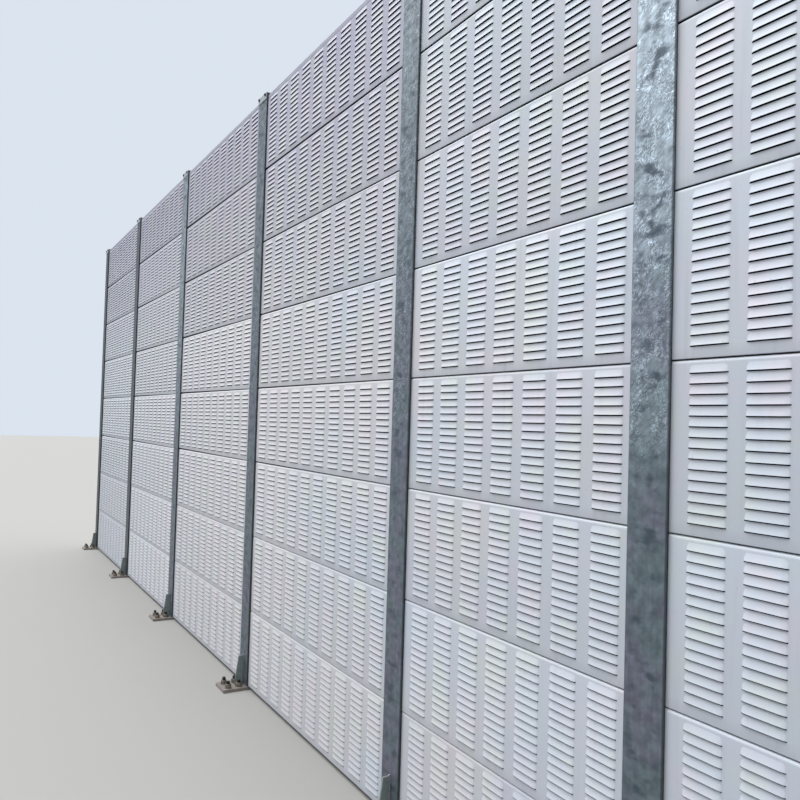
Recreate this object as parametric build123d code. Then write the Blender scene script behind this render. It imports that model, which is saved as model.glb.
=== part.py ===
from build123d import *
import os

# Noise barrier section, in millimetres. X runs along the wall, -Y is the road side, Z is up.
# The origin is under the middle of the fourth base plate, on the face that lies on the concrete.

# Bays, from the origin's post to either end of the wall
STANDARD_BAY = 2000.0
SHORT_BAY = 1460.0
BAYS_TOWARDS_MINUS_X = [STANDARD_BAY, STANDARD_BAY, STANDARD_BAY]
BAYS_TOWARDS_PLUS_X = [STANDARD_BAY, SHORT_BAY, STANDARD_BAY]

# Rolled H-section of a post
SECTION_DEPTH = 150.0
FLANGE_WIDTH = 150.0
FLANGE_THICKNESS = 10.0
WEB_THICKNESS = 7.0
ROOT_RADIUS = 8.0

# Base plate and its anchor holes
PLATE_WIDTH = 170.0
PLATE_DEPTH = 470.0
PLATE_THICKNESS = 20.0
ANCHOR_SPACING_X = 90.0
ANCHOR_OUTER_SPACING_Y = 384.0
ANCHOR_INNER_SPACING_Y = 240.0
ANCHOR_HOLE_RADIUS = 14.0

# Gusset between a flange and its base plate
GUSSET_THICKNESS = 10.0
GUSSET_HEIGHT = 190.0
GUSSET_TOP_WIDTH = 35.0
GUSSET_FOOT_WIDTH = 60.0
GUSSET_WELD_CLIP = 12.0

# Panels; the bend along a panel's top edges is drawn as one flat
PANELS_HIGH = 8
PANEL_HEIGHT = 500.0
PANEL_THICKNESS = 100.0
PANEL_END_CLEARANCE = 12.0
PANEL_TOP_BEND = 7.0
SEAM_HEIGHT = 4.0
SEAM_DEPTH = 12.0

# Rubber strips between panel ends and flanges
FRONT_GASKET_THICKNESS = 3.0
STRIP_INSET_FROM_FLANGE_EDGE = 2.0
STRIP_WIDTH = 42.0

# Folded channel that closes the top course between two posts
CLOSER_SHEET = 3.0
CLOSER_RISE = 16.0
CLOSER_LAP = 10.0
CLOSER_BEND_RADIUS = 3.0
CLOSER_END_CLEARANCE = 3.0

# Folded cap over the head of a post
POST_ABOVE_PANELS = 32.0
CAP_SHEET = 5.0
CAP_LIP_HEIGHT = 50.0
CAP_BEND_RADIUS = 6.0

half_depth = SECTION_DEPTH / 2
half_flange = FLANGE_WIDTH / 2
half_web = WEB_THICKNESS / 2
flange_inner = half_depth - FLANGE_THICKNESS
panel_front = -flange_inner + FRONT_GASKET_THICKNESS
panel_back = panel_front + PANEL_THICKNESS
panel_top = PLATE_THICKNESS + PANELS_HIGH * PANEL_HEIGHT
post_top = panel_top + POST_ABOVE_PANELS

post_places = [0.0]
for bay_length in BAYS_TOWARDS_MINUS_X:
    post_places.insert(0, post_places[0] - bay_length)
for bay_length in BAYS_TOWARDS_PLUS_X:
    post_places.append(post_places[-1] + bay_length)
bays = list(zip(post_places, post_places[1:]))


def block(x0, x1, y0, y1, z0, z1):
    return Pos((x0 + x1) / 2, (y0 + y1) / 2, (z0 + z1) / 2) * Box(x1 - x0, y1 - y0, z1 - z0)


def save(solids, name):
    shape = Compound(children=solids) if len(solids) > 1 else solids[0]
    export_step(shape, "parts/" + name + ".step")


def h_post():
    """The H-section: two flanges and a web, with a root radius in each corner of both slots."""
    post = block(-half_flange, half_flange, -half_depth, half_depth, PLATE_THICKNESS, post_top)
    for side in (-1, 1):
        slot_middle = side * (half_web + half_flange) / 2
        slot = Pos(slot_middle, 0) * Rectangle(half_flange - half_web, 2 * flange_inner)
        slot = fillet([v for v in slot.vertices() if abs(v.X) < abs(slot_middle)], ROOT_RADIUS)
        post = post - Pos(0, 0, PLATE_THICKNESS) * extrude(slot, post_top - PLATE_THICKNESS)
    return post.solids()[0]


def base_plate():
    plate = block(-PLATE_WIDTH / 2, PLATE_WIDTH / 2, -PLATE_DEPTH / 2, PLATE_DEPTH / 2, 0, PLATE_THICKNESS)
    for side_x in (-1, 1):
        for spacing_y in (ANCHOR_OUTER_SPACING_Y, ANCHOR_INNER_SPACING_Y):
            for side_y in (-1, 1):
                hole = Cylinder(ANCHOR_HOLE_RADIUS, 3 * PLATE_THICKNESS)
                plate = plate - Pos(side_x * ANCHOR_SPACING_X / 2, side_y * spacing_y / 2, 0) * hole
    return plate.solids()[0]


def gusset():
    """A trapezoid plate on the road side, its inner foot corner clipped clear of the weld."""
    outline = Polyline(
        (-half_depth, PLATE_THICKNESS + GUSSET_WELD_CLIP),
        (-half_depth, PLATE_THICKNESS + GUSSET_HEIGHT),
        (-half_depth - GUSSET_TOP_WIDTH, PLATE_THICKNESS + GUSSET_HEIGHT),
        (-half_depth - GUSSET_FOOT_WIDTH, PLATE_THICKNESS),
        (-half_depth - GUSSET_WELD_CLIP, PLATE_THICKNESS),
        close=True)
    face = Plane.YZ * make_face(outline)
    return extrude(face, GUSSET_THICKNESS / 2, both=True).solids()[0]


def post_cap():
    """Sheet folded down over both flanges, open at its ends."""
    lip_bottom = post_top - CAP_LIP_HEIGHT + CAP_SHEET
    cap = block(-half_flange, half_flange, -half_depth - CAP_SHEET, half_depth + CAP_SHEET,
                lip_bottom, post_top + CAP_SHEET)
    cap = fillet(cap.edges().filter_by(Axis.X).group_by(Axis.Z)[-1], CAP_BEND_RADIUS)
    room = block(-FLANGE_WIDTH, FLANGE_WIDTH, -half_depth, half_depth, lip_bottom - 1, post_top)
    return (cap - room).solids()[0]


def panel(bay_start, bay_end, row):
    """One cassette; its foot is notched front and back, which leaves the seam over the one below."""
    x0 = bay_start + half_web + PANEL_END_CLEARANCE
    x1 = bay_end - half_web - PANEL_END_CLEARANCE
    z0 = PLATE_THICKNESS + row * PANEL_HEIGHT
    body = block(x0, x1, panel_front, panel_back, z0, z0 + PANEL_HEIGHT)
    body = chamfer(body.edges().filter_by(Axis.X).group_by(Axis.Z)[-1], PANEL_TOP_BEND)
    if row > 0:
        for face_y, notch_y in ((panel_front, panel_front + SEAM_DEPTH), (panel_back, panel_back - SEAM_DEPTH)):
            middle = Pos((x0 + x1) / 2, (face_y + notch_y) / 2, z0 + SEAM_HEIGHT / 2)
            body = body - middle * Box(x1 - x0, SEAM_DEPTH, SEAM_HEIGHT)
    return body.solids()[0]


def top_closer(bay_start, bay_end):
    """A channel set over the top panel, open below, its lips lapping the panel's two faces."""
    x0 = bay_start + half_flange + CLOSER_END_CLEARANCE
    x1 = bay_end - half_flange - CLOSER_END_CLEARANCE
    foot, head = panel_top - CLOSER_LAP, panel_top + CLOSER_RISE
    channel = block(x0, x1, panel_front - CLOSER_SHEET, panel_back + CLOSER_SHEET, foot, head)
    channel = fillet(channel.edges().filter_by(Axis.X).group_by(Axis.Z)[-1], CLOSER_BEND_RADIUS)
    room = block(x0 - 1, x1 + 1, panel_front, panel_back, foot - 1, head - CLOSER_SHEET)
    return (channel - room).solids()[0]


def strips(y0, y1):
    """Full-height strips over both end edges of every bay."""
    near_edge = half_flange - STRIP_INSET_FROM_FLANGE_EDGE
    found = []
    for start, end in bays:
        found.append(block(start + near_edge - STRIP_WIDTH, start + near_edge, y0, y1, PLATE_THICKNESS, panel_top))
        found.append(block(end - near_edge, end - near_edge + STRIP_WIDTH, y0, y1, PLATE_THICKNESS, panel_top))
    return found


os.makedirs("parts", exist_ok=True)

one_post, one_plate, one_gusset, one_cap = h_post(), base_plate(), gusset(), post_cap()
for number, place in enumerate(post_places, start=1):
    save([Pos(place, 0, 0) * one_post], "post_" + str(number))
    save([Pos(place, 0, 0) * one_plate], "base_plate_" + str(number))
    save([Pos(place, 0, 0) * one_gusset, Pos(place, 0, 0) * Rot(0, 0, 180) * one_gusset],
         "gussets_" + str(number))
    save([Pos(place, 0, 0) * one_cap], "post_cap_" + str(number))

for number, (start, end) in enumerate(bays, start=1):
    stack = [panel(start, end, row) for row in range(PANELS_HIGH)]
    save(stack[0::2], "panels_bay_" + str(number) + "_odd_rows")
    save(stack[1::2], "panels_bay_" + str(number) + "_even_rows")

save([top_closer(start, end) for start, end in bays], "top_closing_strips")
save(strips(-flange_inner, panel_front), "front_gaskets")
save(strips(panel_back, flange_inner), "rear_packers")
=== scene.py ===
import math
import random

import bmesh
import bpy
from mathutils import Matrix, Vector


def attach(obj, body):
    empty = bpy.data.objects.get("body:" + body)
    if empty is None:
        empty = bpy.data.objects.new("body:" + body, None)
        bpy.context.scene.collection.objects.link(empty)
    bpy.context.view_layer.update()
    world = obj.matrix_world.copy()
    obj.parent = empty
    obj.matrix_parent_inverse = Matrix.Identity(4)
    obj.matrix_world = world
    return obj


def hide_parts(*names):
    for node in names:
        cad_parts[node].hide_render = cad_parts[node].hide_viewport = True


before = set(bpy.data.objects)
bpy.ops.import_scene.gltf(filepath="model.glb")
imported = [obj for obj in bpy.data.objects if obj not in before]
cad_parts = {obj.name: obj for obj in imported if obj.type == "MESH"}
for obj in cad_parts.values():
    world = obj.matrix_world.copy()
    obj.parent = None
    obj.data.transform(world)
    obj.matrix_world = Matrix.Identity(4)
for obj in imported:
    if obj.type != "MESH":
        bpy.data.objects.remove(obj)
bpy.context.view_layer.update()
random.seed(4)

# Stage: a plain pale floor at the underside of the base plates, a pale backdrop, soft light from
# above on the louvred side, and a camera at eye height that looks along the wall. The script works
# in metres, and small sizes are written in millimetres, times MM.
MM = 0.001
CAMERA_PLACE = Vector((5.0645, -1.8763, 1.8175))
CAMERA_HEADING = math.radians(149.575)
CAMERA_PITCH = math.radians(1.675)
CAMERA_ROLL = math.radians(1.671)
CAMERA_LENS = 34.65
CAMERA_SENSOR = 36
CAMERA_REACH = 200
FLOOR_RADIUS = 60
FLOOR_SEEN = "#868684"
FLOOR_BOUNCE = "#45474b"
BACKDROP_COLOUR = "#dbe4ef"
DOME_COLOUR = "#ffffff"
DOME_AT_HORIZON, DOME_AT_ZENITH = 0.5, 2.4
SUN_LEVEL = 3.4
SUN_SOFTNESS = math.radians(50)
SUN_RAYS = Vector((0.45, 0.24, -0.86))


def linear(hex_colour):
    """An sRGB hex colour as linear red, green, blue and alpha."""
    channels = [int(hex_colour[i:i + 2], 16) / 255 for i in (1, 3, 5)]
    return [c / 12.92 if c <= 0.04045 else ((c + 0.055) / 1.055) ** 2.4 for c in channels] + [1.0]


def node(tree, kind, settings=None, links=None):
    """Adds a node with its settings and links. A link comes from a socket, or from a node, which
    gives its first output in use. A Mix node's sockets are 0 for the share, 2 and 3 for numbers,
    and 6 and 7 for colours."""
    made = tree.nodes.new("ShaderNode" + kind)
    for key, value in (settings or {}).items():
        if isinstance(key, int) or key in made.inputs:
            made.inputs[key].default_value = value
        else:
            setattr(made, key, value)
    for key, source in (links or {}).items():
        if isinstance(source, bpy.types.Node):
            source = next(output for output in source.outputs if output.enabled)
        tree.links.new(source, made.inputs[key])
    return made


def new_material(name):
    """An empty material, and its node tree."""
    made = bpy.data.materials.new(name)
    made.use_nodes = True
    made.node_tree.nodes.clear()
    return made, made.node_tree


def new_object(name, bm, materials):
    """Makes an object of a bmesh, which is freed."""
    mesh = bpy.data.meshes.new(name)
    bm.to_mesh(mesh)
    bm.free()
    for material in materials:
        mesh.materials.append(material)
    made = bpy.data.objects.new(name, mesh)
    bpy.context.scene.collection.objects.link(made)
    return made


camera = bpy.data.objects.new("camera", bpy.data.cameras.new("camera"))
bpy.context.scene.collection.objects.link(camera)
camera.data.sensor_width = CAMERA_SENSOR
camera.data.lens = CAMERA_LENS
camera.data.clip_end = CAMERA_REACH
heading = Vector((math.cos(CAMERA_HEADING) * math.cos(CAMERA_PITCH),
                  math.sin(CAMERA_HEADING) * math.cos(CAMERA_PITCH),
                  math.sin(CAMERA_PITCH)))
aim = heading.to_track_quat("-Z", "Y").to_matrix().to_4x4()
camera.matrix_world = Matrix.Translation(CAMERA_PLACE) @ aim @ Matrix.Rotation(CAMERA_ROLL, 4, "Z")
bpy.context.scene.camera = camera
bpy.context.scene.view_settings.view_transform = "Standard"

sun = bpy.data.objects.new("sun", bpy.data.lights.new("sun", "SUN"))
bpy.context.scene.collection.objects.link(sun)
sun.data.energy = SUN_LEVEL
sun.data.angle = SUN_SOFTNESS
sun.rotation_euler = SUN_RAYS.to_track_quat("-Z", "Y").to_euler()


def backdrop_rays(tree):
    """1 for the rays that show the stage itself: straight to the camera, mirrored or through glass."""
    rays = node(tree, "LightPath").outputs
    mirrored = node(tree, "Math", {"operation": "ADD"}, {0: rays["Is Camera Ray"], 1: rays["Is Glossy Ray"]})
    return node(tree, "Math", {"operation": "ADD", "use_clamp": True},
                {0: mirrored, 1: rays["Is Transmission Ray"]})


world = bpy.data.worlds.new("studio")
bpy.context.scene.world = world
world.use_nodes = True
sky = world.node_tree
sky.nodes.clear()
direction = node(sky, "TexCoord").outputs["Generated"]
steep = node(sky, "SeparateXYZ", links={0: direction}).outputs["Z"]
strength = node(sky, "MapRange", {"To Min": DOME_AT_HORIZON, "To Max": DOME_AT_ZENITH}, {"Value": steep})
dome = node(sky, "Background", {"Color": linear(DOME_COLOUR)}, {"Strength": strength})
backdrop = node(sky, "Background", {"Color": linear(BACKDROP_COLOUR), "Strength": 1.0})
seen = node(sky, "MixShader", links={0: backdrop_rays(sky), 1: dome, 2: backdrop})
node(sky, "OutputWorld", links={"Surface": seen})

# Matt paint: pale to the eye and in reflections, darker in the light that it throws back up the wall.
floor_paint, tree = new_material("pale_matt_paint")
colour = node(tree, "Mix", {"data_type": "RGBA", 6: linear(FLOOR_BOUNCE), 7: linear(FLOOR_SEEN)},
              {0: backdrop_rays(tree)})
shader = node(tree, "BsdfPrincipled", {"Roughness": 0.9}, {"Base Color": colour})
node(tree, "OutputMaterial", links={"Surface": shader})
bm = bmesh.new()
bmesh.ops.create_circle(bm, cap_ends=True, segments=64, radius=FLOOR_RADIUS)
floor = new_object("floor", bm, [floor_paint])

# Louvred panels: sheet-steel cassettes, 500 mm high, powder coated light grey and filled with mineral
# wool behind black fleece. Rows of hoods are pressed out of the front sheet, open at their lower edge,
# and each cassette's top edge has a wider bend than its bottom edge.
POST_PLACES = [-6.0, -4.0, -2.0, 0.0, 2.0, 3.46, 5.46]
PLATE_TOP = 20 * MM
PANELS_HIGH = 8
PANEL_HEIGHT = 500 * MM
PANEL_DEPTH = 100 * MM
PANEL_FRONT = -62 * MM
PANEL_END_CLEARANCE = 15.5 * MM
PANEL_TOP = PLATE_TOP + PANELS_HIGH * PANEL_HEIGHT
SHEET = 1 * MM
TOP_BEND = 10 * MM
EDGE_BEND = 2 * MM
BEND_STEPS = 4
SEAM_HEIGHT = 4 * MM
SEAM_DEPTH = 12 * MM
FLEECE_BEHIND = 14 * MM
FLEECE_PART, SEAL_PART = 1, 2

# The louvres: fifteen hoods in a column. A hood's sides sweep in towards its top, its lip stands
# proud, and its ends are drawn down to the sheet, where its faces crowd together. A cell is one
# pitch of the sheet, with its hood.
ROWS = 15
COLUMN_PITCH = 181 * MM
ROW_PITCH = 30.2 * MM
FIRST_LIP = 39.5 * MM
HOOD_LENGTH = 127 * MM
HOOD_HEIGHT = 22 * MM
HOOD_DEPTH = 4.9 * MM
HOOD_CURVE = 1.2
HOOD_CORNER = 9 * MM
HOOD_CORNER_CURVE = 3
HOOD_END = 12 * MM
HOOD_END_CROWDING = 0.6
HOOD_FACES_ALONG, HOOD_FACES_UP = 6, 3
LIP_DROOP = 0.3 * SHEET
CELL_BELOW_LIP = 6 * MM
FIELD_FOOT = FIRST_LIP - CELL_BELOW_LIP
FIELD_HEAD = FIELD_FOOT + ROWS * ROW_PITCH
SHEET_FOOT, SHEET_HEAD = SEAM_HEIGHT + EDGE_BEND, PANEL_HEIGHT - TOP_BEND
NEAR = 0.01 * MM
MERGED = 0.02 * MM

# By bay, from the far end: louvre columns, how far they stand off the bay's middle, how far a slot
# opens below its lip, and how much wider a seam is at the bay's far end, from the fourth row up.
COLUMNS = [10, 10, 10, 10, 7, 10]
FIELD_SHIFTS = [0, 0, 0, 0, 12 * MM, 14 * MM]
SLOTS_BELOW_LIP = [5.8 * MM, 5.8 * MM, 5.6 * MM, 4.9 * MM, 4.1 * MM, 3.6 * MM]
FAR_END_OPENING = [10 * MM, 10 * MM, 10 * MM, 4.5 * MM, 0, 0]
LOWEST_OPEN_ROW = 3

# The seam under the top course is a little higher than the others. A cassette leans by up to LEAN,
# in radians, and stands up to SET_BACK off the common plane.
TOP_SEAM_OPENING = 1.6 * MM
LOW_SEAM_OPENING = -1.2 * MM
SEAM_EDGE_SLACK = 0.1 * MM
LEAN = 0.0008
SET_BACK = 0.5 * MM

# Rain washes what stands proud, and a painted highlight brightens it: the lips fully, and most of
# the bend along a cassette's top.
WASHED_AND_LIT_BEND = 0.8
WASHED_AND_LIT_BEND_FROM = SHEET_HEAD + 1 * MM

# Colours of the coat and of the grime on it, and the real size of each pattern. Places along and up
# the wall, at which a tone starts and ends, are in metres.
COAT_COOL = "#bcc5d0"
COAT_NEUTRAL = "#c6c6ca"
COAT_LAVENDER = "#c1c0cd"
COAT_DULL = "#a3a4b7"
COAT_TINGE = "#c2cbc0"
COAT_PINK = "#cec2cb"
GRIME_FILM = "#9ca0a8"
CLOUD = 769.2 * MM
BLUSH_PATCH = 344.8 * MM
TINGE_PATCH = 166.7 * MM
RUN_WIDTH = 33.33 * MM
RUN_LENGTH = 20 * RUN_WIDTH
SPECK_SPACING = 9.091 * MM
PEEL_PITCH = 1.111 * MM
PEEL_DEPTH = 0.3 * MM
NEUTRAL_FROM, NEUTRAL_TO = -4.5, -0.5
DULL_FROM, DULL_TO = 2.4, 3.9
DULL_BAYS_END = 2.0
LIP_HIGHLIGHT_FROM, LIP_HIGHLIGHT_TO = 0.8, 3.6
LIP_HIGHLIGHT_BAYS_FROM, LIP_HIGHLIGHT_BAYS_TO = -5.0, 1.0
RINSED_FROM, RINSED_TO = 0.2, 3.8
NEAR_RINSED_FROM, NEAR_RINSED_TO = 1.2, 2.6
FAR_DULL_FROM, FAR_DULL_TO = -6.0, 0.0

# Powder coat: matt, with a faint orange peel. Each cassette is a slightly different shade, and the tone
# drifts along the wall from cool at the near end to neutral, with lavender, green and pink tinges.
coat, tree = new_material("powder_coated_sheet")
place = node(tree, "TexCoord").outputs["Object"]
where = node(tree, "SeparateXYZ", links={0: place}).outputs
panel_shade = node(tree, "Attribute", {"attribute_name": "panel_shade"}).outputs["Fac"]
washed_and_lit = node(tree, "Attribute", {"attribute_name": "washed_and_lit"}).outputs["Fac"]
clouds = node(tree, "TexNoise", {"Scale": 1 / CLOUD, "Detail": 3.0}, {"Vector": place})
farther = node(tree, "Math", {"operation": "MULTIPLY_ADD", 1: -0.10}, {0: where["X"], 2: clouds})
drift = node(tree, "MapRange", {"From Min": 0.15, "From Max": 0.48}, {"Value": farther})
near_share = node(tree, "MapRange", {"From Min": NEUTRAL_FROM, "From Max": NEUTRAL_TO, "To Min": 0.3},
                  {"Value": where["X"]})
warm = node(tree, "Math", {"operation": "MULTIPLY"}, {0: drift, 1: near_share})
cool = node(tree, "Mix", {"data_type": "RGBA", 6: linear(COAT_COOL), 7: linear(COAT_NEUTRAL)}, {0: warm})
patches = node(tree, "TexNoise", {"Scale": 1 / BLUSH_PATCH, "Detail": 3.0}, {"Vector": place})
blush = node(tree, "MapRange", {"From Min": 0.50, "From Max": 0.75, "To Max": 0.6}, {"Value": patches})
blushed = node(tree, "Mix", {"data_type": "RGBA", 7: linear(COAT_LAVENDER)}, {0: blush, 6: cool})

# High up in the far bays the coat is darker and bluer, least on the lips. Patches of green and pink
# lie over all of it, strongest on the lips.
high_up = node(tree, "MapRange", {"From Min": DULL_FROM, "From Max": DULL_TO}, {"Value": where["Z"]})
far_off = node(tree, "Math", {"operation": "LESS_THAN", 1: DULL_BAYS_END}, {0: where["X"]})
unwashed_and_unlit = node(tree, "MapRange", {"To Min": 1.0, "To Max": 0.25}, {"Value": washed_and_lit})
dull_place = node(tree, "Math", {"operation": "MULTIPLY"}, {0: high_up, 1: far_off})
dulled = node(tree, "Math", {"operation": "MULTIPLY"}, {0: dull_place, 1: unwashed_and_unlit})
dimmed = node(tree, "Mix", {"data_type": "RGBA", 7: linear(COAT_DULL)}, {0: dulled, 6: blushed})
small_patches = node(tree, "TexNoise", {"Scale": 1 / TINGE_PATCH, "Detail": 2.0}, {"Vector": place})
green = node(tree, "MapRange", {"From Min": 0.52, "From Max": 0.68, "To Max": 0.5}, {"Value": small_patches})
pink = node(tree, "MapRange", {"From Min": 0.47, "From Max": 0.33, "To Max": 0.4}, {"Value": small_patches})
tinge_share = node(tree, "MapRange", {"To Min": 0.5}, {"Value": washed_and_lit})
greener = node(tree, "Math", {"operation": "MULTIPLY"}, {0: green, 1: tinge_share})
pinker = node(tree, "Math", {"operation": "MULTIPLY"}, {0: pink, 1: tinge_share})
tinged = node(tree, "Mix", {"data_type": "RGBA", 7: linear(COAT_TINGE)}, {0: greener, 6: dimmed})
hued = node(tree, "Mix", {"data_type": "RGBA", 7: linear(COAT_PINK)}, {0: pinker, 6: tinged})

# Brightness: by cassette, then a painted highlight on the lips and top bend, strongest high up and far
# off, then more on the upper rows, and less on the far bays as a whole.
shade = node(tree, "MapRange", {"To Min": 0.91, "To Max": 1.01}, {"Value": panel_shade})
lip_highlight_up = node(tree, "MapRange", {"From Min": LIP_HIGHLIGHT_FROM, "From Max": LIP_HIGHLIGHT_TO, "To Max": 0.15},
               {"Value": where["Z"]})
lip_highlight_far = node(tree, "MapRange", {"From Min": LIP_HIGHLIGHT_BAYS_FROM, "From Max": LIP_HIGHLIGHT_BAYS_TO,
                                   "To Min": 0.35, "To Max": 0.0}, {"Value": where["X"]})
lip_highlight = node(tree, "Math", {"operation": "ADD"}, {0: lip_highlight_up, 1: lip_highlight_far})
# Painted highlight: the lips and the top bend are brightened as if they caught more light.
lip_highlight_gain = node(tree, "Math", {"operation": "MULTIPLY_ADD", 2: 1.0}, {0: lip_highlight, 1: washed_and_lit})
rinsed = node(tree, "MapRange", {"From Min": RINSED_FROM, "From Max": RINSED_TO,
                                 "To Min": 0.95, "To Max": 1.07}, {"Value": where["Z"]})
near_rinse = node(tree, "MapRange", {"From Min": NEAR_RINSED_FROM, "From Max": NEAR_RINSED_TO,
                                     "To Max": 0.05}, {"Value": where["Z"]})
near_only = node(tree, "Math", {"operation": "SUBTRACT", "use_clamp": True}, {0: near_rinse, 1: far_off})
rinse = node(tree, "Math", {"operation": "ADD"}, {0: rinsed, 1: near_only})
far_dull = node(tree, "MapRange", {"From Min": FAR_DULL_FROM, "From Max": FAR_DULL_TO, "To Min": 0.82},
                {"Value": where["X"]})
along = node(tree, "Math", {"operation": "MULTIPLY"}, {0: rinse, 1: far_dull})
local = node(tree, "Math", {"operation": "MULTIPLY"}, {0: shade, 1: lip_highlight_gain})
light = node(tree, "Math", {"operation": "MULTIPLY"}, {0: along, 1: local})
shaded = node(tree, "VectorMath", {"operation": "SCALE"}, {0: hued, "Scale": light})

# Grime: a thin film along the foot of each cassette and in runs down it, and fine dark specks.
courses = node(tree, "Math", {"operation": "MULTIPLY_ADD", 1: 1 / PANEL_HEIGHT, 2: -PLATE_TOP / PANEL_HEIGHT},
               {0: where["Z"]})
up_panel = node(tree, "Math", {"operation": "FRACT"}, {0: courses})
foot_film = node(tree, "MapRange", {"From Min": 0.01, "From Max": 0.08, "To Min": 0.28, "To Max": 0.0},
                 {"Value": up_panel})
light_film = node(tree, "MapRange", {"To Min": 0.28, "To Max": 0.0}, {"Value": up_panel})
stretch = node(tree, "Mapping", {"Scale": (1.0, 1.0, RUN_WIDTH / RUN_LENGTH)}, {"Vector": place})
runs = node(tree, "TexNoise", {"Scale": 1 / RUN_WIDTH, "Detail": 4.0}, {"Vector": stretch})
run_film = node(tree, "MapRange", {"From Min": 0.54, "From Max": 0.75, "To Max": 0.22}, {"Value": runs})
low_film = node(tree, "Math", {"operation": "ADD"}, {0: foot_film, 1: light_film})
all_film = node(tree, "Math", {"operation": "ADD"}, {0: low_film, 1: run_film})
film = node(tree, "Math", {"operation": "MULTIPLY"}, {0: all_film, 1: unwashed_and_unlit})
specks = node(tree, "TexNoise", {"Scale": 1 / SPECK_SPACING, "Detail": 2.0}, {"Vector": place})
speck = node(tree, "MapRange", {"From Min": 0.725, "From Max": 0.765, "To Max": 0.85}, {"Value": specks})
dirt = node(tree, "Math", {"operation": "MAXIMUM"}, {0: film, 1: speck})
skin = node(tree, "Mix", {"data_type": "RGBA", 7: linear(GRIME_FILM)}, {0: dirt, 6: shaded})
peel = node(tree, "TexNoise", {"Scale": 1 / PEEL_PITCH, "Detail": 2.0}, {"Vector": place})
bump = node(tree, "Bump", {"Strength": 0.15, "Distance": PEEL_DEPTH}, {"Height": peel})
shader = node(tree, "BsdfPrincipled", {"Roughness": 0.55, "Specular IOR Level": 0.15},
              {"Base Color": skin, "Normal": bump})
node(tree, "OutputMaterial", links={"Surface": shader})

# Glass fleece: a black felt that keeps the wool in. It drinks the light, so the slots read as dark
# lines. Its fibres are drawn coarser than real ones, so that they show at all.
FLEECE_COLOUR = "#141517"
FIBRE_CLUMP = 2.5 * MM
FIBRE_DEPTH = 0.5 * MM
fleece, tree = new_material("black_glass_fleece")
place = node(tree, "TexCoord").outputs["Object"]
fibres = node(tree, "TexNoise", {"Scale": 1 / FIBRE_CLUMP, "Detail": 2.0}, {"Vector": place})
nap = node(tree, "Bump", {"Strength": 0.4, "Distance": FIBRE_DEPTH}, {"Height": fibres})
shader = node(tree, "BsdfPrincipled",
              {"Base Color": linear(FLEECE_COLOUR), "Roughness": 0.95, "Specular IOR Level": 0.1},
              {"Normal": nap})
node(tree, "OutputMaterial", links={"Surface": shader})

# EPDM rubber: matt black with a grey bloom. It seals the joints between cassettes and beds their ends.
RUBBER_BLACK, RUBBER_BLOOM = "#17181a", "#2c2d2f"
BLOOM_PATCH = 16.67 * MM
rubber, tree = new_material("epdm_rubber")
place = node(tree, "TexCoord").outputs["Object"]
bloom = node(tree, "TexNoise", {"Scale": 1 / BLOOM_PATCH, "Detail": 3.0}, {"Vector": place})
skin = node(tree, "Mix", {"data_type": "RGBA", 6: linear(RUBBER_BLACK), 7: linear(RUBBER_BLOOM)}, {0: bloom})
shader = node(tree, "BsdfPrincipled", {"Roughness": 0.7}, {"Base Color": skin})
node(tree, "OutputMaterial", links={"Surface": shader})


def extruded(bm, edges):
    """Extrudes edges, and gives the new vertices, the edges between them and the new faces."""
    grown = bmesh.ops.extrude_edge_only(bm, edges=edges)["geom"]
    verts = [g for g in grown if isinstance(g, bmesh.types.BMVert)]
    faces = [g for g in grown if isinstance(g, bmesh.types.BMFace)]
    outer = [g for g in grown if isinstance(g, bmesh.types.BMEdge) and all(v in verts for v in g.verts)]
    return verts, outer, faces


def louvre_cell(slot_below_lip):
    """One pitch of the front sheet with its hood, lip at z = 0, in the plane y = 0."""
    bm = bmesh.new()
    bmesh.ops.create_grid(bm, x_segments=HOOD_FACES_ALONG, y_segments=HOOD_FACES_UP, size=0.5)
    ends = {side: [v for v in bm.verts if abs(v.co.x - side * 0.5) < NEAR] for side in (-1, 1)}
    for vert in bm.verts:
        down = 0.5 - vert.co.y
        half = HOOD_LENGTH / 2 - HOOD_CORNER * (1 - down) ** HOOD_CORNER_CURVE
        x = math.copysign(half * abs(math.sin(vert.co.x * math.pi)) ** HOOD_END_CROWDING, vert.co.x)
        past = max(0.0, (abs(x) - half + HOOD_END) / HOOD_END)
        taper = math.sqrt(max(0.0, 1 - past ** 2))
        vert.co = (x, -HOOD_DEPTH * down ** HOOD_CURVE * taper, HOOD_HEIGHT * (1 - down))
    for face in bm.faces:
        face.smooth = True
    upper = sorted((v for v in bm.verts if v.co.z > HOOD_HEIGHT - NEAR), key=lambda v: v.co.x)

    lip_verts, _, lip_faces = extruded(bm, [e for e in bm.edges if all(v.co.z < NEAR for v in e.verts)])
    for vert in lip_verts:
        if abs(vert.co.x) < HOOD_LENGTH / 2 - NEAR:
            vert.co += Vector((0, SHEET, LIP_DROOP))
    for face in lip_faces:
        face.smooth = False

    half_pitch, low, top = COLUMN_PITCH / 2, -CELL_BELOW_LIP, ROW_PITCH - CELL_BELOW_LIP
    lower = {side: bm.verts.new((side * half_pitch, 0, low)) for side in (-1, 1)}
    higher = {side: bm.verts.new((side * half_pitch, 0, top)) for side in (-1, 1)}
    slot = {side: bm.verts.new((side * HOOD_LENGTH / 2, 0, -slot_below_lip)) for side in (-1, 1)}
    flats = [[lower[-1], lower[1], slot[1], slot[-1]], [higher[-1]] + upper + [higher[1]]]
    for side in (-1, 1):
        flats.append([lower[side], slot[side]] + sorted(ends[side], key=lambda v: v.co.z) + [higher[side]])
    for loop in flats:
        bm.faces.new(loop).smooth = False
    bmesh.ops.recalc_face_normals(bm, faces=bm.faces)
    if sum(f.normal.y for f in bm.faces if not f.smooth) > 0:
        bmesh.ops.reverse_faces(bm, faces=bm.faces)
    for edge in bm.edges:
        edge.smooth = all(face.smooth for face in edge.link_faces)
    return bm


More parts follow.
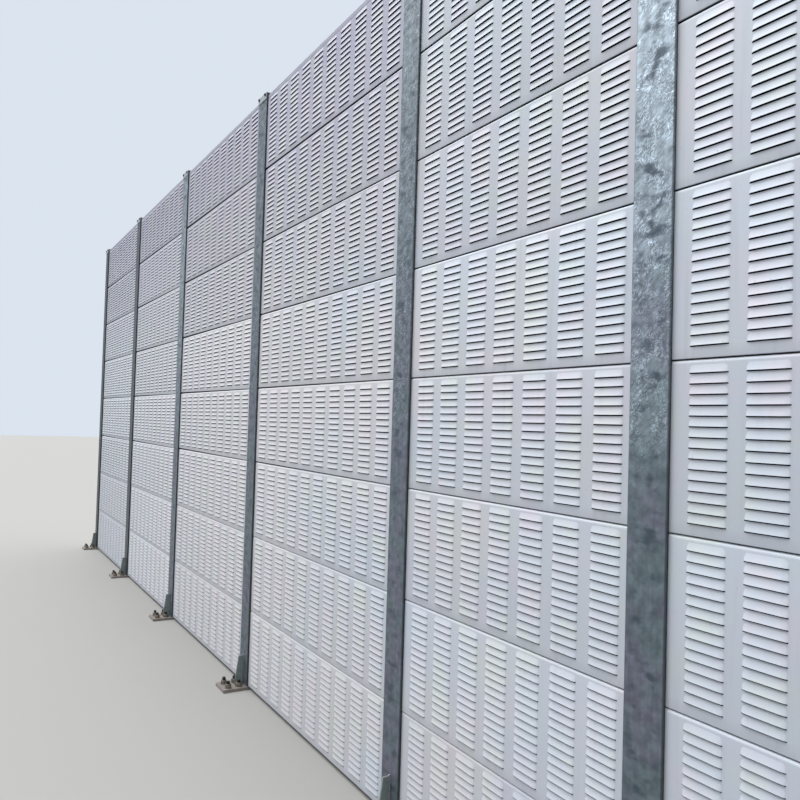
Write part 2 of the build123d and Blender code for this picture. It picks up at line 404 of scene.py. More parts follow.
def repeat(bm, count, step):
    """Copies the whole mesh in a row, count in all, a step apart."""
    original = bm.verts[:] + bm.edges[:] + bm.faces[:]
    for i in range(1, count):
        copied = bmesh.ops.duplicate(bm, geom=original)["geom"]
        verts = [g for g in copied if isinstance(g, bmesh.types.BMVert)]
        bmesh.ops.translate(bm, vec=step * i, verts=verts)


def front_sheet(columns, length, field_shift, slot_below_lip):
    """The field of hoods, and the flat margins that run out from it to the cassette's bends."""
    bm = louvre_cell(slot_below_lip)
    repeat(bm, ROWS, Vector((0, 0, ROW_PITCH)))
    repeat(bm, columns, Vector((COLUMN_PITCH, 0, 0)))
    bmesh.ops.remove_doubles(bm, verts=bm.verts, dist=MERGED)
    bmesh.ops.translate(bm, vec=(-(columns - 1) * COLUMN_PITCH / 2, 0, FIRST_LIP), verts=bm.verts)
    half_field = columns * COLUMN_PITCH / 2

    def outermost(edge):
        at_end = all(abs(abs(v.co.x) - half_field) < NEAR for v in edge.verts)
        at_foot = all(abs(v.co.z - FIELD_FOOT) < NEAR for v in edge.verts)
        at_head = all(abs(v.co.z - FIELD_HEAD) < NEAR for v in edge.verts)
        return at_end or at_foot or at_head

    margin, _, _ = extruded(bm, [e for e in bm.edges if e.is_boundary and outermost(e)])
    for vert in margin:
        if abs(abs(vert.co.x) - half_field) < NEAR:
            vert.co.x = math.copysign(length / 2, vert.co.x)
        if vert.co.z < FIELD_FOOT + NEAR:
            vert.co.z = SHEET_FOOT
        if vert.co.z > FIELD_HEAD - NEAR:
            vert.co.z = SHEET_HEAD
    field = [v for v in bm.verts if abs(v.co.x) < half_field + NEAR]
    bmesh.ops.translate(bm, vec=(field_shift, 0, 0), verts=field)
    return bm


def bend(radius, y, z, start, stop):
    """Points round a fold whose centre line is at (y, z), between two angles in degrees."""
    angles = [math.radians(start + (stop - start) * i / BEND_STEPS) for i in range(BEND_STEPS + 1)]
    return [(y + radius * math.cos(a), z + radius * math.sin(a)) for a in angles]


def fold_round(bm):
    """Carries the front sheet over the top, down the back and round the notched foot."""
    notch_back = PANEL_DEPTH - SEAM_DEPTH
    around = bend(TOP_BEND, TOP_BEND, SHEET_HEAD, 180, 90)[1:]
    around += bend(TOP_BEND, PANEL_DEPTH - TOP_BEND, SHEET_HEAD, 90, 0)
    around += bend(EDGE_BEND, PANEL_DEPTH - EDGE_BEND, SHEET_FOOT, 0, -90)
    around += [(notch_back, SEAM_HEIGHT), (notch_back, 0), (SEAM_DEPTH, 0), (SEAM_DEPTH, SEAM_HEIGHT)]
    around += bend(EDGE_BEND, EDGE_BEND, SHEET_FOOT, -90, -180)
    edges = [e for e in bm.edges if e.is_boundary and all(abs(v.co.z - SHEET_HEAD) < NEAR for v in e.verts)]
    for y, z in around:
        verts, edges, _ = extruded(bm, edges)
        for vert in verts:
            vert.co.y, vert.co.z = y, z
    foot = [v for v in bm.verts if abs(v.co.z - SHEET_FOOT) < NEAR and abs(v.co.y) < NEAR]
    bmesh.ops.remove_doubles(bm, verts=foot, dist=MERGED)


def cassette(columns, length, field_shift, slot_below_lip):
    """A whole panel, centred on x = 0, with its front sheet at y = 0 and its foot at z = 0."""
    bm = front_sheet(columns, length, field_shift, slot_below_lip)
    fold_round(bm)
    for end in (-length / 2, length / 2):
        rim = [e for e in bm.edges if e.is_boundary and all(abs(v.co.x - end) < NEAR for v in e.verts)]
        bmesh.ops.contextual_create(bm, geom=rim)
    bmesh.ops.recalc_face_normals(bm, faces=bm.faces)
    for face in bm.faces:
        at = face.calc_center_median()
        if at.z < SEAM_HEIGHT + NEAR and EDGE_BEND < at.y < PANEL_DEPTH - EDGE_BEND:
            face.material_index = SEAL_PART
    wool = bmesh.ops.create_cube(bm, size=1)["verts"]
    bmesh.ops.scale(bm, vec=(columns * COLUMN_PITCH, SHEET, FIELD_HEAD - FIELD_FOOT), verts=wool)
    bmesh.ops.translate(bm, vec=(0, FLEECE_BEHIND, (FIELD_FOOT + FIELD_HEAD) / 2), verts=wool)
    for face in {f for v in wool for f in v.link_faces}:
        face.material_index = FLEECE_PART
    mesh = bpy.data.meshes.new("cassette")
    bm.to_mesh(mesh)
    bm.free()
    return mesh


def lay_course(bm, panel, bay, row):
    """Sets one cassette in its bay: its own shade, its washed lips with a painted highlight, its seam opened,
    a little askew.
    """
    start, end = POST_PLACES[bay], POST_PLACES[bay + 1]
    shades, washed_and_lit_parts = bm.faces.layers.float["panel_shade"], bm.verts.layers.float["washed_and_lit"]
    before = set(bm.faces)
    bm.from_mesh(panel)
    faces = [f for f in bm.faces if f not in before]
    verts = list({v for f in faces for v in f.verts})
    panel_value = random.random()
    for face in faces:
        face[shades] = panel_value
    opening = TOP_SEAM_OPENING if row == PANELS_HIGH - 1 else LOW_SEAM_OPENING
    far_end = FAR_END_OPENING[bay] if row >= LOWEST_OPEN_ROW else 0
    length = end - start - 2 * PANEL_END_CLEARANCE
    for vert in verts:
        # How far a point stands out of the sheet, and the top bend, set both the rinsing and the painted
        # highlight.
        on_bend = vert.co.z > WASHED_AND_LIT_BEND_FROM
        vert[washed_and_lit_parts] = WASHED_AND_LIT_BEND if on_bend else max(0.0, -vert.co.y / HOOD_DEPTH)
        if SEAM_HEIGHT - SEAM_EDGE_SLACK < vert.co.z < SHEET_FOOT + SEAM_EDGE_SLACK:
            vert.co.z += opening + far_end * (0.5 - vert.co.x / length)
    lean = Matrix.Rotation(random.uniform(-LEAN, LEAN), 3, "X")
    bmesh.ops.rotate(bm, matrix=lean, cent=(0, 0, PANEL_HEIGHT / 2), verts=verts)
    bmesh.ops.translate(bm, vec=((start + end) / 2, PANEL_FRONT + random.uniform(-SET_BACK, SET_BACK),
                                 PLATE_TOP + row * PANEL_HEIGHT), verts=verts)


for bay, columns in enumerate(COLUMNS):
    length = POST_PLACES[bay + 1] - POST_PLACES[bay] - 2 * PANEL_END_CLEARANCE
    one_cassette = cassette(columns, length, FIELD_SHIFTS[bay], SLOTS_BELOW_LIP[bay])
    for first, rows in ((0, "odd"), (1, "even")):
        bm = bmesh.new()
        bm.faces.layers.float.new("panel_shade")
        bm.verts.layers.float.new("washed_and_lit")
        for row in range(first, PANELS_HIGH, 2):
            lay_course(bm, one_cassette, bay, row)
        name = "panels_bay_%d_%s_rows" % (bay + 1, rows)
        piece = new_object("louvred_" + name, bm, [coat, fleece, rubber])
        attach(piece, "root")
        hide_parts(name)

# Closing channels: the same coated sheet, folded over the top course between two posts. The sheet is
# half as thick as the CAD's, so each point keeps half of its distance from the panel's faces.
CLOSER_EDGE = 1.4 * MM
CLOSER_SHEET_SHARE = 0.5
CLOSER_LAP = 10 * MM
FLAT_WITHIN = math.radians(1)
SHARP_FROM = math.radians(50)
SQUARE_ON = 0.999


def softened(name, edge):
    """A copy of a CAD node whose sharp edges are rounded a little."""
    bm = bmesh.new()
    bm.from_mesh(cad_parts[name].data)
    bmesh.ops.remove_doubles(bm, verts=bm.verts, dist=NEAR)
    bmesh.ops.dissolve_limit(bm, angle_limit=FLAT_WITHIN, verts=bm.verts, edges=bm.edges)
    sharp = [e for e in bm.edges if len(e.link_faces) == 2 and e.calc_face_angle(0) > SHARP_FROM]
    bmesh.ops.bevel(bm, geom=sharp, offset=edge, segments=2, profile=0.5, affect="EDGES", material=-1)
    for face in bm.faces:
        face.smooth = max(abs(c) for c in face.normal) < SQUARE_ON
    return bm


bm = softened("top_closing_strips", CLOSER_EDGE)
shades, washed_and_lit_parts = bm.faces.layers.float.new("panel_shade"), bm.verts.layers.float.new("washed_and_lit")
for face in bm.faces:
    face[shades] = 0.0
# The channel's lower lip is marked as washed, so it is rinsed and gets the painted highlight.
for vert in bm.verts:
    vert[washed_and_lit_parts] = 1.0 if vert.co.z < PANEL_TOP - CLOSER_LAP + CLOSER_EDGE else 0.0
    on_panel = min(max(vert.co.y, PANEL_FRONT), PANEL_FRONT + PANEL_DEPTH)
    vert.co.y = on_panel + (vert.co.y - on_panel) * CLOSER_SHEET_SHARE
piece = new_object("closing_channels", bm, [coat])
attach(piece, "root")
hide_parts("top_closing_strips")

# Posts: rolled steel H-sections, hot-dip galvanised. The upper part is bright, partly from a real spangle
# and partly from painted reflection; lower down the zinc is a dull, smooth grey, with darker blotches.
# The rolled edges are slightly round.
ROLLED_EDGE = 4 * MM
FLANGE_HALF = 75 * MM
ZINC_TEAL = "#5d6b71"
ZINC_LAVENDER = "#666977"
ZINC_HIGH_DULL = "#697278"
ZINC_HIGH_SPANGLE_AND_REFLECTION = "#b3c1cc"
ZINC_EDGE_GRIME_AND_SHADE = "#343f3f"
ZINC_BLOTCH = "#3e4a55"
UPPER_FROM, UPPER_TO = 1.2, 3.45
SPANGLE_FROM, SPANGLE_TO = 1.45, 2.15
LEVEL_WANDER = 1.4
LEVEL_PATCH = 333.3 * MM
HUE_PATCH = 120 * MM
STREAK_WIDTH, STREAK_LENGTH = 9 * MM, 36 * MM
STREAK_TURN = math.radians(-50)
GRAIN_SIZE = 24 * MM
GRAIN_SPREAD = math.radians(45)
CRYSTAL_WIDTH, CRYSTAL_LENGTH = 3.2 * MM, 9 * MM
CRYSTAL_DEPTH = 0.4 * MM
CLUMP = 60 * MM
MOTTLE = 38 * MM
DRIP_WIDTH, DRIP_LENGTH = 13 * MM, 110 * MM
BLOTCH = 78 * MM
BLOTCH_FLATNESS = 1.6

# Each post has a tone of its own, from the far end: below 0 darker, towards 1 brighter high up, where
# the extra brightness is partly painted reflection.
POST_TONES = [-0.50, -0.40, 0.24, -0.02, 0.12, 0.74, 0.50]

# Hot-dip zinc: half metal, half oxide skin, in teal and lavender greys, brighter higher up, in part by
# painted reflection, from a level that wanders up and down.
galvanised, tree = new_material("hot_dip_galvanised_steel")
place = node(tree, "TexCoord").outputs["Object"]
where = node(tree, "SeparateXYZ", links={0: place}).outputs
tone = node(tree, "Attribute", {"attribute_name": "zinc_tone"}).outputs["Fac"]
across = node(tree, "Attribute", {"attribute_name": "across"}).outputs["Fac"]
hue = node(tree, "TexNoise", {"Scale": 1 / HUE_PATCH, "Detail": 4.0}, {"Vector": place})
hues = node(tree, "MapRange", {"From Min": 0.42, "From Max": 0.60}, {"Value": hue})
low = node(tree, "Mix", {"data_type": "RGBA", 6: linear(ZINC_TEAL), 7: linear(ZINC_LAVENDER)}, {0: hues})
# Partly painted reflection: the upper zinc is lighter on the posts with a brighter tone.
high_spangle_and_reflection = node(tree, "Mix", {"data_type": "RGBA", 6: linear(ZINC_HIGH_DULL), 7: linear(ZINC_HIGH_SPANGLE_AND_REFLECTION)},
            {0: tone})
drift = node(tree, "TexNoise", {"Scale": 1 / LEVEL_PATCH, "Detail": 4.0}, {"Vector": place})
level = node(tree, "Math", {"operation": "MULTIPLY_ADD", 1: LEVEL_WANDER, 2: -LEVEL_WANDER / 2}, {0: drift})
height = node(tree, "Math", {"operation": "ADD"}, {0: level, 1: where["Z"]})
upper = node(tree, "MapRange", {"interpolation_type": "SMOOTHSTEP", "From Min": UPPER_FROM,
                                "From Max": UPPER_TO}, {"Value": height})
zinc = node(tree, "Mix", {"data_type": "RGBA"}, {0: upper, 6: low, 7: high_spangle_and_reflection})

# Its crystals show in clumps of fine dashes that lean to the right, as the drawn-off streaks do.
slanted = node(tree, "VectorRotate", {"rotation_type": "Y_AXIS", "Angle": STREAK_TURN}, {"Vector": place})
drawn = node(tree, "Mapping", {"Scale": (1.0, 1.0, STREAK_WIDTH / STREAK_LENGTH)}, {"Vector": slanted})
streaks = node(tree, "TexNoise", {"Scale": 1 / STREAK_WIDTH, "Detail": 3.0}, {"Vector": drawn})
streaked = node(tree, "MapRange", {"From Min": 0.34, "From Max": 0.66, "To Min": 0.82, "To Max": 1.18},
                {"Value": streaks})
grains = node(tree, "TexVoronoi", {"Scale": 1 / GRAIN_SIZE}, {"Vector": place}).outputs["Color"]
grain = node(tree, "SeparateColor", links={0: grains}).outputs["Red"]
lean = node(tree, "MapRange", {"To Min": STREAK_TURN - GRAIN_SPREAD, "To Max": STREAK_TURN + GRAIN_SPREAD},
            {"Value": grain})
turned = node(tree, "VectorRotate", {"rotation_type": "Y_AXIS"}, {"Vector": place, "Angle": lean})
feathered = node(tree, "Mapping", {"Scale": (1.0, 1.0, CRYSTAL_WIDTH / CRYSTAL_LENGTH)}, {"Vector": turned})
crystals = node(tree, "TexNoise", {"Scale": 1 / CRYSTAL_WIDTH, "Detail": 2.0}, {"Vector": feathered})
dashes = node(tree, "MapRange", {"From Min": 0.44, "From Max": 0.66, "To Min": 0.70, "To Max": 1.95},
              {"Value": crystals})
clumps = node(tree, "TexNoise", {"Scale": 1 / CLUMP, "Detail": 2.0}, {"Vector": place})
clump = node(tree, "MapRange", {"From Min": 0.38, "From Max": 0.52, "To Min": 0.12}, {"Value": clumps})
risen = node(tree, "MapRange", {"From Min": SPANGLE_FROM, "From Max": SPANGLE_TO}, {"Value": height})
spangled = node(tree, "Math", {"operation": "MULTIPLY"}, {0: clump, 1: risen})
fine = node(tree, "Mix", {2: 1.0}, {0: spangled, 3: dashes})
broad_share = node(tree, "MapRange", {"To Min": 0.25}, {"Value": risen})
broad = node(tree, "Mix", {2: 1.0}, {0: broad_share, 3: streaked})

# Mottle and hanging drips make the skin uneven, and the two farthest posts are darker altogether.
mottles = node(tree, "TexNoise", {"Scale": 1 / MOTTLE, "Detail": 3.0}, {"Vector": place})
mottle = node(tree, "MapRange", {"From Min": 0.36, "From Max": 0.64, "To Min": 0.80, "To Max": 1.19},
              {"Value": mottles})
hanging = node(tree, "Mapping", {"Scale": (1.0, 1.0, DRIP_WIDTH / DRIP_LENGTH)}, {"Vector": place})
drips = node(tree, "TexNoise", {"Scale": 1 / DRIP_WIDTH, "Detail": 2.0}, {"Vector": hanging})
drip = node(tree, "MapRange", {"From Min": 0.36, "From Max": 0.64, "To Min": 0.93, "To Max": 1.07},
            {"Value": drips})
uneven = node(tree, "Math", {"operation": "MULTIPLY"}, {0: mottle, 1: drip})
cloudy = node(tree, "Math", {"operation": "MULTIPLY"}, {0: broad, 1: uneven})
sombre = node(tree, "MapRange", {"From Min": -0.5, "From Max": 0.0, "To Min": 0.28}, {"Value": tone})
patchy = node(tree, "Math", {"operation": "MULTIPLY"}, {0: sombre, 1: cloudy})
gain = node(tree, "Math", {"operation": "MULTIPLY"}, {0: fine, 1: patchy})
bright = node(tree, "VectorMath", {"operation": "SCALE"}, {0: zinc, "Scale": gain})

# Stains: soft dark lobes a few centimetres wide, and along the rolled edges beside the rubber a
# darkening that is partly grime and partly painted shade.
flattened = node(tree, "Mapping", {"Scale": (1.0, 1.0, BLOTCH_FLATNESS)}, {"Vector": place})
lobes = node(tree, "TexNoise", {"Scale": 1 / BLOTCH, "Detail": 3.0}, {"Vector": flattened})
lobe = node(tree, "MapRange", {"interpolation_type": "SMOOTHSTEP", "From Min": 0.49, "From Max": 0.68,
                               "To Max": 0.9}, {"Value": lobes})
outward = node(tree, "Math", {"operation": "ABSOLUTE"}, {0: across})
inward = node(tree, "MapRange", {"From Min": 0.5, "From Max": 0.95, "To Min": 1.0, "To Max": 0.2},
              {"Value": outward})
blotch = node(tree, "Math", {"operation": "MULTIPLY"}, {0: lobe, 1: inward})
blotched = node(tree, "Mix", {"data_type": "RGBA", 7: linear(ZINC_BLOTCH)}, {0: blotch, 6: bright})
# Painted shade and grime: the rolled edges of the flanges are darkened.
edge_grime_and_shade = node(tree, "MapRange", {"From Min": 0.93, "From Max": 0.99, "To Max": 0.65}, {"Value": outward})
skin = node(tree, "Mix", {"data_type": "RGBA", 7: linear(ZINC_EDGE_GRIME_AND_SHADE)}, {0: edge_grime_and_shade, 6: blotched})
rough = node(tree, "MapRange", {"To Min": 0.40, "To Max": 0.60}, {"Value": crystals})
ripple = node(tree, "Bump", {"Strength": 0.2, "Distance": CRYSTAL_DEPTH}, {"Height": crystals})
shader = node(tree, "BsdfPrincipled", {"Metallic": 0.5},
              {"Base Color": skin, "Roughness": rough, "Normal": ripple})
node(tree, "OutputMaterial", links={"Surface": shader})


def stand_in(node_name, piece_name, edge, material, tone=0.0, middle=None):
    """Stands a softened steel piece in for its CAD node, with what its zinc needs to know of each face."""
    bm = softened(node_name, edge)
    tones, lying = bm.faces.layers.float.new("zinc_tone"), bm.faces.layers.float.new("lying")
    across = bm.verts.layers.float.new("across")
    for face in bm.faces:
        face[tones], face[lying] = tone, max(0.0, face.normal.z)
    for vert in bm.verts:
        vert[across] = 0.0 if middle is None else (vert.co.x - middle) / FLANGE_HALF
    piece = new_object(piece_name, bm, [material])
    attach(piece, "root")
    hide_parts(node_name)


for number, (x, tone) in enumerate(zip(POST_PLACES, POST_TONES), start=1):
    stand_in("post_%d" % number, "rolled_post_%d" % number, ROLLED_EDGE, galvanised, tone, x)

# Base plates and gussets: flame-cut plate, welded to the post before galvanising. Dust has settled on
# what faces up. The plates, with tone 0, are browner than the upright gussets, with tone 1.
PLATE_EDGE = 1 * MM
DUST = "#746c66"
PLATE_DARK, PLATE_LIGHT = "#706a66", "#928b86"
RIB_DARK, RIB_LIGHT = "#66706f", "#8b9594"
GRIME_PATCH = 25 * MM
PIT_DEPTH = 0.6 * MM

# Old zinc under dust: dull and blotchy, pitted a little, and matt where the dust lies.
dusty, tree = new_material("dusty_galvanised_plate")
place = node(tree, "TexCoord").outputs["Object"]
lying = node(tree, "Attribute", {"attribute_name": "lying"}).outputs["Fac"]
rib = node(tree, "Attribute", {"attribute_name": "zinc_tone"}).outputs["Fac"]
grime = node(tree, "TexNoise", {"Scale": 1 / GRIME_PATCH, "Detail": 5.0}, {"Vector": place})
settled = node(tree, "Math", {"operation": "MULTIPLY"}, {0: lying, 1: grime})
dust = node(tree, "MapRange", {"From Min": 0.25, "From Max": 0.5, "To Max": 0.9}, {"Value": settled})
flat_zinc = node(tree, "Mix", {"data_type": "RGBA", 6: linear(PLATE_DARK), 7: linear(PLATE_LIGHT)},
                 {0: grime})
rib_zinc = node(tree, "Mix", {"data_type": "RGBA", 6: linear(RIB_DARK), 7: linear(RIB_LIGHT)}, {0: grime})
zinc = node(tree, "Mix", {"data_type": "RGBA"}, {0: rib, 6: flat_zinc, 7: rib_zinc})
skin = node(tree, "Mix", {"data_type": "RGBA", 7: linear(DUST)}, {0: dust, 6: zinc})
dull = node(tree, "MapRange", {"To Min": 0.45, "To Max": 0.9}, {"Value": dust})
pits = node(tree, "Bump", {"Strength": 0.3, "Distance": PIT_DEPTH}, {"Height": grime})
shader = node(tree, "BsdfPrincipled", {"Metallic": 0.25},
              {"Base Color": skin, "Roughness": dull, "Normal": pits})
node(tree, "OutputMaterial", links={"Surface": shader})

for number in range(1, len(POST_PLACES) + 1):
    stand_in("base_plate_%d" % number, "foot_plate_%d" % number, PLATE_EDGE, dusty, tone=0.0)
    stand_in("gussets_%d" % number, "stiffeners_%d" % number, PLATE_EDGE, dusty, tone=1.0)

# Fillet welds: steel beads along the gussets, the flanges' feet and the base plates, laid by hand in
# short ripples and galvanised over together with the post.
SECTION_HALF = 75 * MM
GUSSET_HALF = 5 * MM
GUSSET_TOP = PLATE_TOP + 190 * MM
GUSSET_FOOT_END = SECTION_HALF + 60 * MM
GUSSET_CLIP = 12 * MM
WELD_LEG = 6 * MM
WELD_RIPPLE = 5 * MM
WELD_LEAST, WELD_MOST = 0.8, 1.05
WELD_CROWN = 0.64
WELD_DARK, WELD_LIGHT = "#4c5052", "#878c8e"
WELD_MOTTLE = 11.11 * MM

# Zinc over a weld bead: a little shinier than the posts, so that the ripples catch the light.
weld_zinc, tree = new_material("galvanised_weld_beads")
place = node(tree, "TexCoord").outputs["Object"]
grime = node(tree, "TexNoise", {"Scale": 1 / WELD_MOTTLE, "Detail": 3.0}, {"Vector": place})
skin = node(tree, "Mix", {"data_type": "RGBA", 6: linear(WELD_DARK), 7: linear(WELD_LIGHT)}, {0: grime})
shader = node(tree, "BsdfPrincipled", {"Metallic": 0.5, "Roughness": 0.45}, {"Base Color": skin})
node(tree, "OutputMaterial", links={"Surface": shader})


def weld(bm, start, end, first_leg, second_leg):
    """A rippled bead, extruded ring by ring; its two legs lie on the plates that it joins."""
    corners = (Vector(), first_leg, (first_leg + second_leg) * WELD_CROWN, second_leg)
    leg, place = WELD_LEG * random.uniform(WELD_LEAST, WELD_MOST), start
    edges = bm.faces.new([bm.verts.new(start + corner * leg) for corner in corners]).edges[:]
    count = max(2, round((end - start).length / WELD_RIPPLE))
    for i in range(1, count + 1):
        verts, edges, _ = extruded(bm, edges)
        next_leg, next_place = WELD_LEG * random.uniform(WELD_LEAST, WELD_MOST), start.lerp(end, i / count)
        for vert in verts:
            vert.co = next_place + (vert.co - place) * next_leg / leg
        leg, place = next_leg, next_place
    bmesh.ops.contextual_create(bm, geom=edges)


up = Vector((0, 0, 1))
for number, x in enumerate(POST_PLACES, start=1):
    bm = bmesh.new()
    for face_side in (-1, 1):
        out, flange_y = Vector((0, face_side, 0)), face_side * SECTION_HALF
        for side in (-1, 1):
            away, gusset_x = Vector((side, 0, 0)), x + side * GUSSET_HALF
            weld(bm, Vector((gusset_x, flange_y, PLATE_TOP + GUSSET_CLIP)),
                 Vector((gusset_x, flange_y, GUSSET_TOP)), away, out)
            weld(bm, Vector((gusset_x, face_side * (SECTION_HALF + GUSSET_CLIP), PLATE_TOP)),
                 Vector((gusset_x, face_side * GUSSET_FOOT_END, PLATE_TOP)), away, up)
        weld(bm, Vector((x - GUSSET_HALF, flange_y, GUSSET_TOP)),
             Vector((x + GUSSET_HALF, flange_y, GUSSET_TOP)), out, up)
        weld(bm, Vector((x - FLANGE_HALF, flange_y, PLATE_TOP)),
             Vector((x + FLANGE_HALF, flange_y, PLATE_TOP)), out, up)
    bmesh.ops.recalc_face_normals(bm, faces=bm.faces)
    piece = new_object("weld_beads_%d" % number, bm, [weld_zinc])
    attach(piece, "root")

# Anchor bolts: M24 studs of zinc-coated steel, eight to a post, that come up through the base plate.
# A hex nut over a round washer clamps the plate down on each.
ANCHOR_ROWS = [-192 * MM, -120 * MM, 120 * MM, 192 * MM]
ANCHOR_SIDE = 45 * MM
STUD_RADIUS = 12 * MM
STUD_TOP = PLATE_TOP + 45 * MM
STUD_SIDES = 14
THREAD_PITCH = 3 * MM
THREAD_DEPTH = 1.4 * MM
STUD_END = 1 * MM
WASHER_RADIUS = 22 * MM
WASHER_TOP = PLATE_TOP + 4 * MM
WASHER_SIDES = 20
NUT_CORNER = 20.8 * MM
NUT_HEIGHT = 21.5 * MM
NUT_CHAMFER = 1.2 * MM
NUT_FOOT_SHARE, NUT_HEAD_SHARE = 0.9, 0.88
NUT_TURN_MOST = 1
ANCHOR_TURN_MOST = 3
BARE_FROM, BARE_TO = PLATE_TOP + 24 * MM, PLATE_TOP + 29 * MM
NUT_DARK, NUT_LIGHT = "#5f5b54", "#8d877c"
STUD_COLOUR = "#2b2826"
BOLT_MOTTLE = 8.333 * MM

# Weathered zinc: warm grey and dusty on washer and nut, almost black on the greased end of the stud.
bolt_zinc, tree = new_material("weathered_zinc_bolts")
place = node(tree, "TexCoord").outputs["Object"]
where = node(tree, "SeparateXYZ", links={0: place}).outputs
grime = node(tree, "TexNoise", {"Scale": 1 / BOLT_MOTTLE, "Detail": 4.0}, {"Vector": place})
dusty_nut = node(tree, "Mix", {"data_type": "RGBA", 6: linear(NUT_DARK), 7: linear(NUT_LIGHT)}, {0: grime})
bare = node(tree, "MapRange", {"From Min": BARE_FROM, "From Max": BARE_TO}, {"Value": where["Z"]})
skin = node(tree, "Mix", {"data_type": "RGBA", 7: linear(STUD_COLOUR)}, {0: bare, 6: dusty_nut})
shader = node(tree, "BsdfPrincipled", {"Metallic": 0.5, "Roughness": 0.55}, {"Base Color": skin})
node(tree, "OutputMaterial", links={"Surface": shader})


def ring_stack(bm, rings, segments, turn=0.0):
    """A closed turned shape from (radius, z) rings, bottom to top."""
    radius, z = rings[0]
    base = bmesh.ops.create_circle(bm, cap_ends=True, segments=segments, radius=radius)["verts"]
    bmesh.ops.rotate(bm, matrix=Matrix.Rotation(turn, 3, "Z"), verts=base)
    bmesh.ops.translate(bm, vec=(0, 0, z), verts=base)
    bmesh.ops.reverse_faces(bm, faces=list({f for v in base for f in v.link_faces}))
    edges = list({e for v in base for e in v.link_edges})
    made = list(base)
    for next_radius, next_z in rings[1:]:
        verts, edges, _ = extruded(bm, edges)
        bmesh.ops.scale(bm, vec=(next_radius / radius, next_radius / radius, 1), verts=verts)
        bmesh.ops.translate(bm, vec=(0, 0, next_z - z), verts=verts)
        radius, z = next_radius, next_z
        made += verts
    bmesh.ops.contextual_create(bm, geom=edges)
    return made


def anchor():
    """One stud with its washer and nut, on the axis x = 0, y = 0, all standing over the plate."""
    bm = bmesh.new()
    ring_stack(bm, [(WASHER_RADIUS, PLATE_TOP), (WASHER_RADIUS, WASHER_TOP)], WASHER_SIDES)
    nut_top = WASHER_TOP + NUT_HEIGHT
    nut = [(NUT_CORNER * NUT_FOOT_SHARE, WASHER_TOP), (NUT_CORNER, WASHER_TOP + NUT_CHAMFER),
           (NUT_CORNER, nut_top - NUT_CHAMFER), (NUT_CORNER * NUT_HEAD_SHARE, nut_top)]
    ring_stack(bm, nut, 6, random.uniform(0, NUT_TURN_MOST))
    threads, root, z = [], STUD_RADIUS - THREAD_DEPTH, nut_top - THREAD_PITCH
    while z < STUD_TOP - THREAD_PITCH:
        threads += [(root, z), (STUD_RADIUS, z + THREAD_PITCH / 2)]
        z += THREAD_PITCH
    threads += [(root, z), (root, STUD_TOP - STUD_END), (root - THREAD_DEPTH, STUD_TOP)]
    ring_stack(bm, threads, STUD_SIDES)
    bmesh.ops.recalc_face_normals(bm, faces=bm.faces)
    mesh = bpy.data.meshes.new("anchor")
    bm.to_mesh(mesh)
    bm.free()
    return mesh


one_anchor = anchor()
for number, x in enumerate(POST_PLACES, start=1):
    bm = bmesh.new()
    for y in ANCHOR_ROWS:
        for side in (-1, 1):
            before = set(bm.verts)
            bm.from_mesh(one_anchor)
            verts = [v for v in bm.verts if v not in before]
            turn = Matrix.Rotation(random.uniform(0, ANCHOR_TURN_MOST), 3, "Z")
            bmesh.ops.rotate(bm, matrix=turn, verts=verts)
            bmesh.ops.translate(bm, vec=(x + side * ANCHOR_SIDE, y, 0), verts=verts)
    piece = new_object("anchor_bolts_%d" % number, bm, [bolt_zinc])
    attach(piece, "root")

# Caps: galvanised sheet, folded down over the post heads, each held by two dark hex screws through
# either lip. A screw's head has a thin flange under it.
CAP_EDGE = 1 * MM
CAP_SHEET = 5 * MM
POST_ABOVE_PANELS = 32 * MM
CAP_TOP = PANEL_TOP + POST_ABOVE_PANELS + CAP_SHEET
CAP_FACE = SECTION_HALF + CAP_SHEET
CAP_DARK, CAP_LIGHT = "#8f979b", "#b5bbbd"
CAP_MOTTLE = 11.11 * MM
SCREW_SIDE = 57 * MM
SCREW_LEVEL = CAP_TOP - 17 * MM
SCREW_RADIUS = 9 * MM
SCREW_HEAD = 6.5 * MM
SCREW_FLANGE_RADIUS = 1.3 * SCREW_RADIUS
SCREW_FLANGE = 1 * MM
SCREW_CHAMFER_SHARE = 0.85
SCREW_COLOUR = "#0c0d0f"

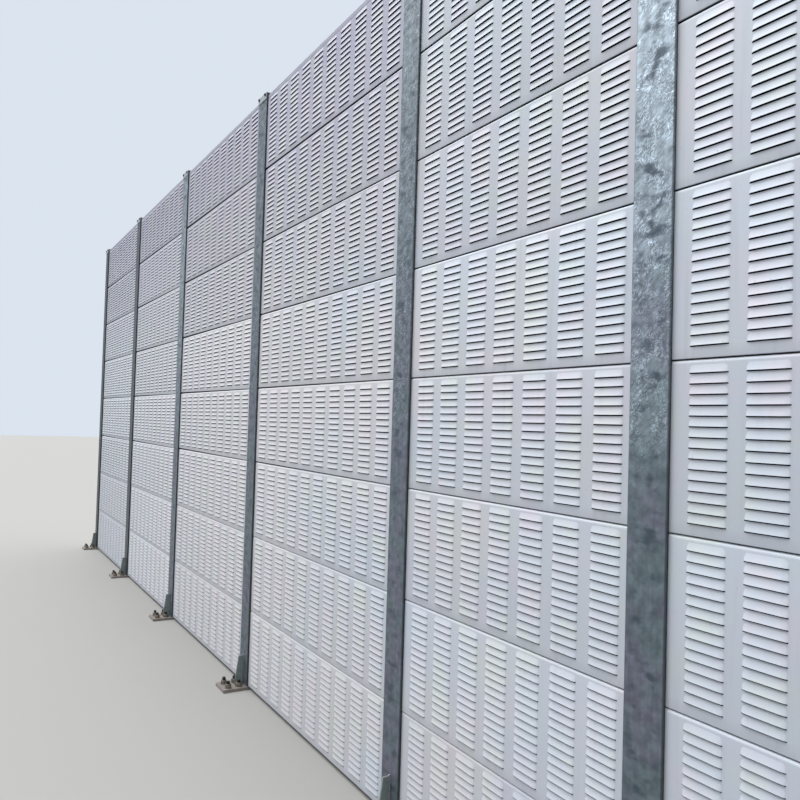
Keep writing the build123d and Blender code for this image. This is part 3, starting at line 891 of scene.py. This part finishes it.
# Bright zinc sheet: lighter than the posts, with a soft mottle.
cap_zinc, tree = new_material("bright_galvanised_sheet")
place = node(tree, "TexCoord").outputs["Object"]
mottle = node(tree, "TexNoise", {"Scale": 1 / CAP_MOTTLE, "Detail": 3.0}, {"Vector": place})
skin = node(tree, "Mix", {"data_type": "RGBA", 6: linear(CAP_DARK), 7: linear(CAP_LIGHT)}, {0: mottle})
shader = node(tree, "BsdfPrincipled", {"Metallic": 0.5, "Roughness": 0.45}, {"Base Color": skin})
node(tree, "OutputMaterial", links={"Surface": shader})

# Black oxide: an even, dry black that hardly shines, so the screws read as dark dots on the caps.
screw_black, tree = new_material("black_oxide_screws")
shader = node(tree, "BsdfPrincipled",
              {"Base Color": linear(SCREW_COLOUR), "Roughness": 0.7, "Specular IOR Level": 0.2})
node(tree, "OutputMaterial", links={"Surface": shader})

screw = [(SCREW_FLANGE_RADIUS, 0), (SCREW_FLANGE_RADIUS, SCREW_FLANGE), (SCREW_RADIUS, SCREW_FLANGE),
         (SCREW_RADIUS, SCREW_HEAD * SCREW_CHAMFER_SHARE), (SCREW_RADIUS * SCREW_CHAMFER_SHARE, SCREW_HEAD)]
for number, x in enumerate(POST_PLACES, start=1):
    stand_in("post_cap_%d" % number, "folded_cap_%d" % number, CAP_EDGE, cap_zinc)
    bm = bmesh.new()
    for face_side in (-1, 1):
        for side in (-1, 1):
            verts = ring_stack(bm, screw, 6)
            bmesh.ops.rotate(bm, matrix=Matrix.Rotation(face_side * -math.pi / 2, 3, "X"), verts=verts)
            seat = (x + side * SCREW_SIDE, face_side * CAP_FACE, SCREW_LEVEL)
            bmesh.ops.translate(bm, vec=seat, verts=verts)
    bmesh.ops.recalc_face_normals(bm, faces=bm.faces)
    piece = new_object("cap_screws_%d" % number, bm, [screw_black])
    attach(piece, "root")

# Rubber strips: they bed the panel ends against the flanges and press them forward. The CAD's own
# shapes stay, and take the rubber of the seals.
for name in ("front_gaskets", "rear_packers"):
    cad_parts[name].data.materials.clear()
    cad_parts[name].data.materials.append(rubber)
